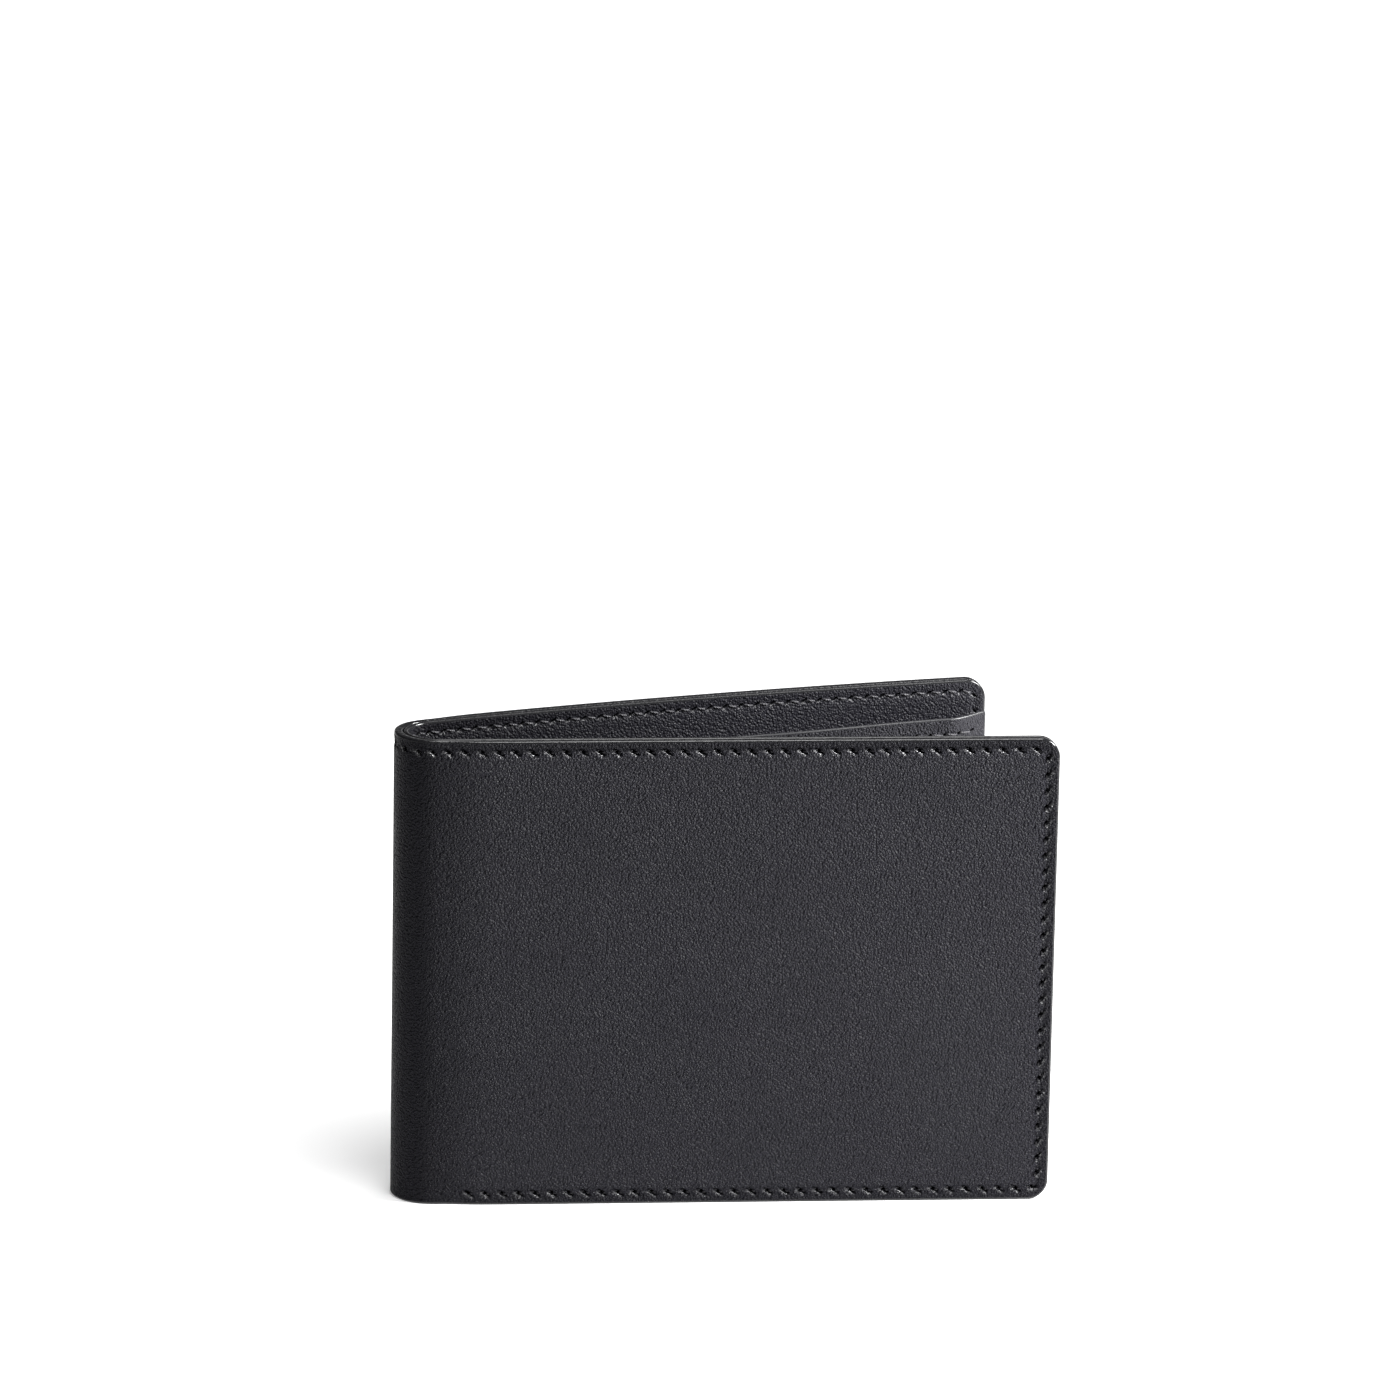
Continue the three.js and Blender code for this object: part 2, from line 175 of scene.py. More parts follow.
# ---- seams ----
def polyline_samples(points, pitch, offset=0.0):
    """Evenly spaced (s, z, direction angle) along a polyline of (s, z) points."""
    points = np.array(points, float)
    legs = np.diff(points, axis=0)
    lengths = np.hypot(*legs.T)
    total = lengths.sum()
    starts = np.concatenate([[0], np.cumsum(lengths)])
    count = int(round((total - offset) / pitch))
    step = (total - offset) / count
    found = []
    for i in range(count + 1):
        d = min(offset + i * step, total - 1e-9)
        k = min(int(np.searchsorted(starts, d, side="right")) - 1, len(legs) - 1)
        t = (d - starts[k]) / lengths[k]
        s, z = points[k] + t * legs[k]
        found.append((s, z, math.atan2(legs[k][1], legs[k][0])))
    return found


def corner(u, z, radius, start, end):
    angles = np.radians(np.linspace(start, end, 7))
    return [(u + radius * math.cos(a), z + radius * math.sin(a)) for a in angles]


def half_seam(half):
    bend = LENGTH[half] - CORNER_R
    r = CORNER_R - SEAM_INSET
    return (
        [(SEAM_START, SEAM_INSET)]
        + corner(bend, CORNER_R, r, -90, 0)
        + corner(bend, HEIGHT - CORNER_R, r, 0, 90)
        + [(0.0, HEIGHT - SEAM_INSET)]
    )


SEAM_PATH = [(-u, z) for u, z in half_seam("front")] + [
    (SPINE_LENGTH + u, z) for u, z in reversed(half_seam("rear"))
]
SLITS = polyline_samples(SEAM_PATH, STITCH)


class Slits:
    """Slanted awl slits: how far they pull a face in, and the points a mesh needs round them.

    Inside, a runs along a slit in halves of its length and b across it in halves of its width.
    """

    NEAR = 2.4  # a slit moves nothing further away than this
    UPPER_WALL = 0.85  # b by which the steep upper wall has mostly risen
    LOWER_SLOPE = (-0.5, 1.7)  # the gentle lower slope rises between these
    PRESSED = (0.35, 0.75, 1.05, 1.6)  # the band of burnishing, as b measured downhill
    PAINTED_SLIT_SHADE = (-1.25, -0.75, 0.25, 0.75)  # and the one where shade is painted in
    LIP_AT = 1.45
    LIP_WIDTH = 0.4
    RINGS = ((0.0, 1), (0.4, 8), (0.75, 12), (1.08, 14), (1.42, 16), (1.85, 14))
    CLEAR = 2.05  # the plain grid of a mesh stops this far out

    def __init__(self, samples, slant, half_length=0.84, half_width=0.32, pull=0.75, lip=0.07):
        self.at = np.array([(s, z) for s, z, _ in samples])
        self.angle = np.array([a + slant for _, _, a in samples])
        self.size = (half_length, half_width)
        self.pull = pull
        self.lip = lip

    def local(self, s, z, k):
        ds, dz = s - self.at[k, 0], z - self.at[k, 1]
        c, n = math.cos(self.angle[k]), math.sin(self.angle[k])
        return (ds * c + dz * n) / self.size[0], (-ds * n + dz * c) / self.size[1]

    def depth(self, s, z):
        """How far a face is pulled in; inwards is positive.

        A slit is steep on its upper side and slopes more gently on its lower side. self.pressed is left
        marking the burnishing on the lower slopes, and a second mark the insides, where shade is painted
        in.
        """
        s, z = np.asarray(s, float), np.asarray(z, float)
        total = np.zeros(s.shape)
        self.pressed = np.zeros(s.shape)
        self.painted_slit_shade = np.zeros(s.shape)
        for k in range(len(self.at)):
            near = (abs(s - self.at[k, 0]) < self.NEAR) & (abs(z - self.at[k, 1]) < self.NEAR)
            if not near.any():
                continue
            a, b = self.local(s[near], z[near], k)
            downhill = -b * np.sign(math.cos(self.angle[k]))
            steep = np.exp(-np.abs(downhill / self.UPPER_WALL) ** 3)
            gentle = (1 - ramp(downhill, *self.LOWER_SLOPE)) / (1 - float(ramp(0, *self.LOWER_SLOPE)))
            across = np.where(downhill < 0, steep, gentle)
            along = np.exp(-((a / 0.95) ** 4))
            self.pressed[near] += along * band(downhill, *self.PRESSED)
            self.painted_slit_shade[near] += along * band(downhill, *self.PAINTED_SLIT_SHADE)
            lip = self.lip * np.exp(-(((np.sqrt(a**2 + b**2) - self.LIP_AT) / self.LIP_WIDTH) ** 2))
            total[near] += self.pull * along * across - lip
        return total

    def mesh_points(self):
        found = []
        for k in range(len(self.at)):
            c, n = math.cos(self.angle[k]), math.sin(self.angle[k])
            for scale, count in self.RINGS:
                for i in range(count):
                    t = 2 * math.pi * i / count
                    a, b = scale * self.size[0] * math.cos(t), scale * self.size[1] * math.sin(t)
                    found.append((self.at[k, 0] + a * c - b * n, self.at[k, 1] + a * n + b * c))
            for a in (-0.55, 0.55):
                found.append((self.at[k, 0] + a * self.size[0] * c, self.at[k, 1] + a * self.size[0] * n))
        return np.array(found)

    def clear_of(self, points):
        keep = np.ones(len(points), bool)
        for k in range(len(self.at)):
            near = (abs(points[:, 0] - self.at[k, 0]) < 2) & (abs(points[:, 1] - self.at[k, 1]) < 2)
            a, b = self.local(points[near, 0], points[near, 1], k)
            inside = a**2 + (b * 0.7) ** 2 < self.CLEAR**2
            keep[np.where(near)[0][inside]] = False
        return keep


NO_EDGE = 99.0  # further than any edge


def edge_distance(part, u, z):
    """How far a point lies inside the sewn edges: top, free side, and bottom from the seam's start."""
    side = bottom = np.full(np.shape(u), NO_EDGE)
    if part in LENGTH:
        side = LENGTH[part] - u
        bottom = np.where(u > SEAM_START - 1.5, z, NO_EDGE)
    over_u = np.clip(CORNER_R - side, 0, None)
    over_top = np.clip(CORNER_R - (HEIGHT - z), 0, None)
    over_bottom = np.clip(CORNER_R - bottom, 0, None)
    return CORNER_R - np.hypot(over_u, np.maximum(over_top, over_bottom))


# ---- meshes ----
FINE_STEP = 0.3  # outline of a sheet with a seam
PLAIN_STEP = 1.0
SEAM_ROWS = (0.28, 4.4)  # rows of points beside a seam: their step, and how far in they go
COARSER_ROWS = ((4.8, 0.45), (5.4, 0.7), (6.3, 1.1), (7.6, 1.6))  # then inset and spacing
FINE_REACH = 9.2  # the plain grid starts this far in
PLAIN_REACH = 2.5
GRID_STEP = 2.2
BEND_STEP = 0.2  # round the bend, columns are close and rows are not
BEND_ROW_STEP = 2.0
# points up a cut side, the same on both sides of the cut
CUT_HEIGHTS = np.concatenate(
    [np.arange(0, 76, 2.0), np.arange(76, 78.6, 0.5), np.arange(78.6, 81.5, 0.15), [81.5, 81.7, 81.85]]
)


def spaced(low, high, step):
    count = max(1, int(math.ceil(abs(high - low) / step - 1e-9)))
    return np.linspace(low, high, count + 1)


def grid(u0, u1, z0, z1, du, dz):
    us, zs = spaced(u0, u1, du), spaced(z0, z1, dz)
    uu, zz = np.meshgrid(us, zs)
    uu[1::2] += 0.25 * (us[1] - us[0])
    return np.stack([uu.ravel(), zz.ravel()], 1)


class Outline:
    """The rounded rectangle that a sheet fills. A cut side meets the next part of the shell.

    radii: bottom left, bottom right, top right, top left. A cut side has square corners and no bulge.
    """

    def __init__(self, part, low, high, radii, inset, rim, start):
        self.part = part
        self.rim = rim
        self.u0, self.u1 = span(part)
        self.cut_left = start is None
        self.cut_right = part not in LENGTH
        if start is not None:
            self.u0 = start
        if part in LENGTH:
            self.u1 -= inset
        self.z0, self.z1 = low + inset, high
        self.radii = [max(r - inset, 0.05) for r in radii]

    def loop(self, e, step):
        """Points a distance e inside, anticlockwise in (u, z), with the way the rim bulges outwards."""
        rbl, rbr, rtr, rtl = (max(r - e, 0.03) for r in self.radii)
        left = self.u0 if self.cut_left else self.u0 + e
        right = self.u1 if self.cut_right else self.u1 - e
        bottom, top = self.z0 + e, self.z1 - e
        heights = CUT_HEIGHTS[(CUT_HEIGHTS > bottom + 0.04) & (CUT_HEIGHTS < top - 0.04)]
        top_left = left if self.cut_left else left + rtl
        found = []

        def run(points, normal):
            found.extend((u, z, *normal) for u, z in points)

        def arc(cu, cz, r, start):
            count = max(2, int(math.ceil(r * math.pi / 2 / step)))
            for a in np.radians(np.linspace(start, start + 90, count + 1))[1:-1]:
                found.append((cu + r * math.cos(a), cz + r * math.sin(a), math.cos(a), math.sin(a)))

        start_u = left if self.cut_left else left + rbl
        end_u = right if self.cut_right else right - rbr
        run([(u, bottom) for u in spaced(start_u, end_u, step)], (0, -1))
        if self.cut_right:
            run([(right, z) for z in heights], (0, 0))
            run([(u, top) for u in spaced(right, top_left, step)], (0, 1))
        else:
            arc(end_u, bottom + rbr, rbr, -90)
            run([(right, z) for z in spaced(bottom + rbr, top - rtr, step)], (1, 0))
            arc(right - rtr, top - rtr, rtr, 0)
            run([(u, top) for u in spaced(right - rtr, top_left, step)], (0, 1))
        if self.cut_left:
            run([(left, z) for z in heights[::-1]], (0, 0))
        else:
            arc(left + rtl, top - rtl, rtl, 90)
            run([(left, z) for z in spaced(top - rtl, bottom + rbl, step)], (-1, 0))
            arc(left + rbl, bottom + rbl, rbl, 180)
        return np.array(found)

    def inside(self, points, left, right, ends):
        """Which points lie inside the rim by these margins at the left, the right and both ends."""
        u, z = points.T
        found = (u > self.u0 + left) & (u < self.u1 - self.rim - right)
        return found & (z > self.z0 + self.rim + ends) & (z < self.z1 - self.rim - ends)

    def face_points(self, detailed, slits):
        """Inner vertices of one face: close rows along a seam, slits, and a plain grid elsewhere."""
        u0, u1, z0, z1 = self.u0, self.u1, self.z0, self.z1
        row_step, rows_end = SEAM_ROWS
        found = []
        if detailed:
            rows = [(e, FINE_STEP) for e in np.arange(self.rim + row_step, rows_end, row_step)]
            found = [self.loop(e, step)[:, :2] for e, step in (*rows, *COARSER_ROWS)]
        reach = FINE_REACH if detailed else PLAIN_REACH
        if u1 - u0 > 2 * reach:
            left = u0 if self.cut_left else u0 + reach
            found.append(grid(left, u1 - reach, z0 + reach, z1 - reach, GRID_STEP, GRID_STEP))
        if self.cut_left and self.part in LENGTH:
            found.append(grid(u0 + BEND_STEP, 0.6, z0 + 1.5, z1 - 1.5, BEND_STEP, BEND_ROW_STEP))
        if self.cut_right:
            found.append(grid(u0 + BEND_STEP, u1 - BEND_STEP, z0 + 1.5, z1 - 1.5, BEND_STEP, BEND_ROW_STEP))
        found = np.vstack(found)
        found = found[self.inside(found, 0.12, 0.0 if self.cut_right else 0.12, 0.12)]
        if detailed and slits:
            found = found[slits.clear_of(np.stack([to_s(self.part, found[:, 0]), found[:, 1]], 1))]
            extra = slits.mesh_points()
            extra[:, 0] = to_u(self.part, extra[:, 0])
            found = np.vstack([found, extra[self.inside(extra, 0.05, 0.1, 0.1)]])
        return found


def triangulate(loop, inner):
    """Delaunay triangles of a closed loop with inner points; the loop's points come first."""
    points = np.vstack([loop, inner]) if len(inner) else loop
    count = len(loop)
    edges = [(i, (i + 1) % count) for i in range(count)]
    verts, _, faces, origins, _, _ = delaunay_2d_cdt([Vector(p) for p in points], edges, [], 1, 1e-6)
    verts = np.array([v[:] for v in verts])
    where = {}
    for out, source in enumerate(origins):
        for i in source:
            where[i] = out
    order = [where[i] for i in range(count)]
    triangles = []
    for face in faces:
        a, b, c = (verts[i] for i in face)
        turn = (b[0] - a[0]) * (c[1] - a[1]) - (b[1] - a[1]) * (c[0] - a[0])
        triangles.append(tuple(face) if turn > 0 else tuple(reversed(face)))
    return verts, triangles, order


def new_mesh(name, verts, faces, materials, face_materials=None, sharp=40):
    mesh = bpy.data.meshes.new(name)
    mesh.from_pydata([tuple(v) for v in verts], [], faces)
    for m in materials:
        mesh.materials.append(m)
    if face_materials is not None:
        mesh.polygons.foreach_set("material_index", np.asarray(face_materials, np.int32))
    mesh.polygons.foreach_set("use_smooth", np.ones(len(mesh.polygons), bool))
    mesh.update()
    if sharp:
        mesh.set_sharp_from_angle(angle=math.radians(sharp))
    obj = bpy.data.objects.new(name, mesh)
    bpy.context.scene.collection.objects.link(obj)
    return obj


def volume_of(verts, faces):
    verts = np.asarray(verts)
    tris = np.array([f[:3] for f in faces] + [(f[0], f[2], f[3]) for f in faces if len(f) == 4])
    a, b, c = (verts[tris[:, i]] for i in range(3))
    return np.einsum("ij,ij->i", a, np.cross(b, c)).sum()


RIM_STEPS = np.radians([22.5, 45, 67.5, 90])
BORDER = (1.5, 2.5)  # the painted shade along the border fades out this far from the edge
# how much darker the border is painted: painted shade along the smooth edge strip
BORDER_SHADE = 0.8


def rim_rings(rim, depths):
    """The rounded rim, as (how far out, how deep, whether it moves with the near face)."""
    near, far = depths
    radius = min(rim, (far - near) / 2 - 0.02)
    rings = [(rim * math.sin(a), near + radius * (1 - math.cos(a)), 1) for a in RIM_STEPS]
    return rings + [(rim * math.sin(a), far - radius * (1 - math.cos(a)), 0) for a in RIM_STEPS[::-1]]


def add_attribute(obj, name, values):
    obj.data.attributes.new(name, "FLOAT", "POINT").data.foreach_set("value", values)


def layer(
    name,
    part,
    depths,
    low,
    high,
    radii,
    materials,
    inset=0.0,
    rim=0.25,
    start=None,
    leans=False,
    dips=False,
    fine=(),
    slits=None,
    shape=None,
    near_shift=lambda s: 0.0,
    darkened_to=6.5,
    burnished=False,
):
    """One sheet of leather or cloth: two faces, each meshed for what shows on it, and a rounded rim.

    fine names the faces with a seam; slits and shape give what pulls each face in. Shade is painted into
    the leather up to a given distance from the fold, and along its border if asked.
    """
    outline = Outline(part, low, high, radii, inset, rim, start)
    loop = outline.loop(rim, FINE_STEP if fine else PLAIN_STEP)
    edge, bulge = loop[:, :2], loop[:, 2:]
    slits = slits or {}
    shape = shape or {}
    verts, along, inwards = [], [], []

    def add_vertices(u, z, depth):
        """Adds vertices and gives the index of the first."""
        first = sum(len(v) for v in verts)
        lean = gape(part, u, z) if leans else 0.0
        dip = MOUTH_DIP * mouth_shape(part, u) * ramp(z, WALL_TOP - MOUTH_BAND, WALL_TOP) if dips else 0.0
        s = to_s(part, u)
        verts.append(place(s, depth + lean, z - dip))
        along.append(s)
        inwards.append(edge_distance(part, u, z))
        return first

    faces, ends = [], []
    marks = {"pressed": [], "painted_slit_shade": []}
    for side, depth, sign in (("near", depths[0], 1), ("far", depths[1], -1)):
        flat, triangles, order = triangulate(edge, outline.face_points(side in fine, slits.get(side)))
        u, z = flat.T
        s = to_s(part, u)
        shift = near_shift(s) if side == "near" else 0.0
        depth = depth + shift + np.zeros(len(u))
        pressed, painted_slit_shade = np.zeros(len(u)), np.zeros(len(u))
        if side in slits:
            # slits are shallower where the leather has moved towards the lining
            depth += sign * (1 - np.clip(shift, 0, 0.4)) * slits[side].depth(s, z)
            pressed, painted_slit_shade = slits[side].pressed, slits[side].painted_slit_shade
        if side in shape:
            depth += sign * shape[side](u, z)
        marks["pressed"].append(np.clip(pressed, 0, 1))
        marks["painted_slit_shade"].append(np.clip(painted_slit_shade, 0, 1))
        first = add_vertices(u, z, depth)
        faces.extend(tuple(first + i for i in t[::sign]) for t in triangles)
        ends.append([first + i for i in order])
    face_count = len(faces)

    count = len(edge)
    loops = [ends[0]]
    for out, depth, shifted in rim_rings(rim, depths):
        u, z = (edge + bulge * out).T
        first = add_vertices(u, z, depth + shifted * near_shift(to_s(part, u)))
        loops.append([first + i for i in range(count)])
    loops.append(ends[1])
    for a, b in zip(loops, loops[1:]):
        faces.extend((a[(i + 1) % count], a[i], b[i], b[(i + 1) % count]) for i in range(count))
    face_materials = [0] * face_count + [1] * (len(faces) - face_count)

    verts = np.vstack(verts)
    if volume_of(verts, faces) < 0:
        faces = [tuple(reversed(f)) for f in faces]
    obj = new_mesh(name, verts, faces, materials, face_materials)
    for mark, values in marks.items():
        values = np.concatenate(values)
        add_attribute(obj, mark, np.concatenate([values, np.zeros(len(verts) - len(values))]))
    from_fold = np.abs(np.concatenate(along) - SPINE_LENGTH / 2) - SPINE_LENGTH / 2
    # painted shade: darker near the fold, where the bend turns from the light and the halves shade each
    # other, and along the border if asked
    painted_shade = 1 - ramp(from_fold, -2, darkened_to)
    if burnished:
        painted_shade = np.maximum(painted_shade, BORDER_SHADE * (1 - ramp(np.concatenate(inwards), *BORDER)))
    add_attribute(obj, "painted_shade", painted_shade)
    return obj


# ---- threads ----
def join(mesh, more):
    """Adds the verts and faces of one mesh to another."""
    base = len(mesh[0])
    mesh[0].extend(more[0])
    mesh[1].extend(tuple(base + i for i in f) for f in more[1])


def tube(centres, radius, sides=8):
    """A closed tube along 3-D points: verts and faces."""
    centres = np.array(centres)
    verts, faces = [], []
    tangents = np.gradient(centres, axis=0)
    up = np.array([0.31, -0.87, 0.38])
    for p, t in zip(centres, tangents):
        t = t / np.linalg.norm(t)
        a = np.cross(t, up)
        a /= np.linalg.norm(a)
        b = np.cross(t, a)
        for i in range(sides):
            w = 2 * math.pi * i / sides
            verts.append(p + radius * (math.cos(w) * a + math.sin(w) * b))
    n = len(centres)
    for k in range(n - 1):
        for i in range(sides):
            j = (i + 1) % sides
            faces.append((k * sides + i, k * sides + j, (k + 1) * sides + j, (k + 1) * sides + i))
    faces.append(tuple(range(sides))[::-1])
    faces.append(tuple((n - 1) * sides + i for i in range(sides)))
    return verts, faces


STITCH_GAP = 1.6 * STITCH  # slits further apart than this have no stitch between them
STITCH_STEPS = 13


def stitch_row(samples, surface, sign, proud, radius, cross, sunk, sag=None):
    """Each stitch as its own thread from slit to slit: {part: (verts, faces)} by where its middle lies.

    surface gives the depth of the face, and sign is 1 on the outer face and -1 on an inner one. Halfway
    along, a stitch's centre line stands proud of the face, or lies under it if that is negative. Its
    ends are sunk in the slits, off their middles by cross.
    """
    found = {}
    for k in range(len(samples) - 1):
        (s0, z0, a0), (s1, z1, a1) = samples[k], samples[k + 1]
        if math.hypot(s1 - s0, z1 - z0) > STITCH_GAP:
            continue
        d0 = np.array([math.cos(a0 + SLIT_SLANT), math.sin(a0 + SLIT_SLANT)]) * cross
        d1 = np.array([math.cos(a1 + SLIT_SLANT), math.sin(a1 + SLIT_SLANT)]) * cross
        p0, p1 = np.array([s0, z0]) + d0, np.array([s1, z1]) - d1
        points = []
        for t in np.linspace(0, 1, STITCH_STEPS):
            flat = p0 + (p1 - p0) * t
            rise = math.sin(math.pi * t) ** 0.7
            height = -sunk + (proud + sunk) * rise
            depth = surface(flat[0], flat[1]) - sign * height
            drop = sag(flat[0], flat[1]) if sag else 0.0
            points.append(place(flat[0], depth, flat[1] - drop))
        row = found.setdefault(part_at((s0 + s1) / 2), ([], []))
        join(row, tube(points, radius * 0.001))
    return found


# ---- materials ----
class Shader:
    """A procedural material on object coordinates, wired to one principled shader."""

    def __init__(self, name):
        self.material = bpy.data.materials.new(name)
        self.material.use_nodes = True
        self.nodes = self.material.node_tree.nodes
        self.links = self.material.node_tree.links
        self.coord = self.nodes.new("ShaderNodeTexCoord").outputs["Object"]

    def connect(self, node, inputs):
        """Each input is linked to a socket or set to a plain value."""
        for key, value in inputs.items():
            if isinstance(value, bpy.types.NodeSocket):
                self.links.new(value, node.inputs[key])
            else:
                node.inputs[key].default_value = value

    def node(self, kind, inputs, **settings):
        node = self.nodes.new("ShaderNode" + kind)
        for key, value in settings.items():
            setattr(node, key, value)
        self.connect(node, inputs)
        return node

    def noise(self, scale, detail):
        return self.node("TexNoise", {"Scale": scale, "Detail": detail, "Vector": self.coord})

    def bump(self, height, distance, **inputs):
        node = self.node("Bump", {"Height": height, "Distance": distance, **inputs})
        return node.outputs["Normal"]

    def mark(self, name):
        """A vertex attribute from 0 to 1."""
        return self.node("Attribute", {}, attribute_name=name).outputs["Fac"]

    def between(self, value, low, high, value_range=(0.0, 1.0)):
        ends = {"From Min": value_range[0], "From Max": value_range[1], "To Min": low, "To Max": high}
        return self.node("MapRange", {"Value": value, **ends}).outputs["Result"]

    def mix(self, factor, a, b):
        return self.node("Mix", {"Factor": factor, "A": a, "B": b}, data_type="FLOAT").outputs["Result"]

    def mix_color(self, factor, a, b, blend_type="MIX"):
        # inputs 0, 6 and 7 of a mix node are its factor and its two colours, and output 2 is a colour
        return self.node("Mix", {0: factor, 6: a, 7: b}, data_type="RGBA", blend_type=blend_type).outputs[2]

    def tone(self, value, low, high, positions=(0.0, 1.0)):
        ramp_node = self.node("ValToRGB", {"Fac": value})
        for element, position, color in zip(ramp_node.color_ramp.elements, positions, (low, high)):
            element.position = position
            element.color = (*color, 1)
        return ramp_node.outputs["Color"]

    def finish(self, **inputs):
        """Wires the principled shader; in the names of its inputs, _ stands for a space."""
        self.connect(self.nodes["Principled BSDF"], {k.replace("_", " "): v for k, v in inputs.items()})
        return self.material


def scaled(color, factor):
    return tuple(c * factor for c in color)


PEBBLES = 2650  # cells to the metre
PORES = 3200
TONE_CHANGES = 60
PEBBLE_WARP = 0.0004
PEBBLE_HEIGHT = 0.0012
LIP_INDEX = 2.0  # refractive index, so that slit lips can gleam
GLOSS_SCALE = 0.04 / 0.111  # a specular level for an index of 1.5, restated for one of 2


def leather(name, color, dark, roughness, grain=1.0, specular=0.5, lip_gloss=0.4):
    """Fine pebbled calf: cells under half a millimetre across, softer pores and slow tone changes.

    The vertex attribute pressed burnishes the lower lips of the slits; two more paint shade into the
    leather:
    near black with no reflection inside the slits, and darker and duller near the fold and along the
    border.
    """
    m = Shader(name)
    pressed = m.mark("pressed")
    painted_slit_shade = m.mark("painted_slit_shade")
    painted_shade = m.mark("painted_shade")
    drift = m.noise(900, 2).outputs["Color"]
    warp = m.node("VectorMath", {0: drift, "Scale": PEBBLE_WARP}, operation="SCALE")
    warped = m.node("VectorMath", {0: m.coord, 1: warp.outputs[0]}, operation="ADD").outputs[0]
    cells = m.node("TexVoronoi", {"Scale": PEBBLES, "Vector": warped}, feature="SMOOTH_F1")
    cells.inputs["Smoothness"].default_value = 0.35
    pores = m.noise(PORES, 3).outputs["Fac"]
    slow = m.noise(TONE_CHANGES, 3).outputs["Fac"]
    height = m.mix(0.35, cells.outputs["Distance"], pores)
    pebbles = m.node(
        "Bump",
        {"Height": height, "Distance": PEBBLE_HEIGHT * grain, "Strength": m.between(pressed, 1.0, 0.12)},
        invert=True,
    )
    normal = m.bump(slow, 0.0003, Strength=0.4, Normal=pebbles.outputs["Normal"])

    plain = m.tone(height, color, dark, positions=(0.25, 0.8))
    # painted shade near the fold and along the border
    shade_darkened = m.mix_color(painted_shade, plain, (0.6, 0.6, 0.6, 1), "MULTIPLY")
    # painted shade: the insides of the slits are painted near black
    base = m.mix_color(painted_slit_shade, shade_darkened, (0.0015, 0.0015, 0.0018, 1))
    polish = m.between(slow, roughness - 0.04, roughness + 0.05, (0.3, 0.7))
    level = specular * GLOSS_SCALE
    gloss = m.mix(pressed, m.between(painted_shade, level, level * 0.65), lip_gloss * GLOSS_SCALE)
    # the painted shade also takes the reflection out of the slits
    shine = m.node("Math", {0: gloss, 1: m.between(painted_slit_shade, 1.0, 0.02)}, operation="MULTIPLY")
    return m.finish(
        Base_Color=base,
        Normal=normal,
        Roughness=m.mix(pressed, polish, 0.24),
        Specular_IOR_Level=shine.outputs[0],
        IOR=LIP_INDEX,
    )


def edge_paint(name, color, roughness, beading):
    """Burnished edge paint: it beads over the fibres of the cut leather."""
    m = Shader(name)
    beads = m.noise(1500, 2).outputs["Fac"]
    return m.finish(
        Base_Color=m.tone(beads, scaled(color, 0.7), scaled(color, 1.3)),
        Normal=m.bump(beads, 0.0003 * beading, Strength=1.0),
        Roughness=roughness,
        Specular_IOR_Level=0.38,
    )


def thread_material(name, color):
    """Waxed polyester thread: fine twisted plies."""
    m = Shader(name)
    wave = {"Scale": 1500, "Distortion": 1.5, "Vector": m.coord}
    plies = m.node("TexWave", wave, wave_type="BANDS", bands_direction="DIAGONAL").outputs["Fac"]
    return m.finish(
        Base_Color=m.tone(plies, scaled(color, 0.6), scaled(color, 1.3)),
        Normal=m.bump(plies, 0.00005, Strength=0.8),
        Roughness=0.5,
    )


def cloth_material(name, color):
    """Plain woven lining cloth, about 25 threads to the centimetre."""
    m = Shader(name)
    wave = {"Scale": 780, "Distortion": 0.4, "Vector": m.coord}
    warp, weft = (m.node("TexWave", wave, bands_direction=d).outputs["Fac"] for d in ("X", "Z"))
    weave = m.mix(0.5, warp, weft)
    return m.finish(
        Base_Color=m.tone(weave, scaled(color, 0.5), scaled(color, 1.4)),
        Normal=m.bump(weave, 0.00008, Strength=0.8),
        Roughness=0.85,
    )


# colours are linear: the tops of the pebbles, then the creases
OUTER_TONES = (0.0154, 0.0149, 0.0204), (0.0076, 0.0073, 0.0104)
LINING_TONES = (0.0128, 0.0124, 0.0162), (0.0086, 0.0083, 0.0113)
WALL_TONES = (0.0145, 0.014, 0.0183), (0.010, 0.0097, 0.013)
SLOT_TONES = (0.0155, 0.015, 0.0195), (0.011, 0.0107, 0.0142)
OUTER_LEATHER = leather("outer_calf", *OUTER_TONES, 0.47, grain=1.0, specular=0.11, lip_gloss=1.7)
LINING_LEATHER = leather("lining_calf", *LINING_TONES, 0.45, grain=0.27, specular=0.14, lip_gloss=1.2)
WALL_LEATHER = leather("wall_calf", *WALL_TONES, 0.48, grain=0.38, specular=0.14)
SLOT_LEATHER = leather("slot_calf", *SLOT_TONES, 0.48, grain=0.38, specular=0.14)
PAINT = edge_paint("edge_paint", (0.01, 0.01, 0.011), 0.19, beading=0.08)
WALL_PAINT = edge_paint("wall_edge_paint", (0.014, 0.014, 0.016), 0.36, beading=0.12)
OUTER_PAINT = edge_paint("outer_edge_paint", (0.008, 0.008, 0.009), 0.13, beading=0.2)
THREAD = thread_material("thread", (0.03, 0.029, 0.034))
CLOTH = cloth_material("pocket_cloth", (0.012, 0.012, 0.014))

# ---- the shell ----
EASE_DEPTH = 0.6
EASE_REACH = 5.2
CHANNEL_DEPTH = 0.15
CHANNEL_WIDTH = 0.75

outer_slits = Slits(SLITS, SLIT_SLANT)
lining_slits = Slits(SLITS, SLIT_SLANT, half_length=0.55, half_width=0.22, pull=0.3, lip=0.05)


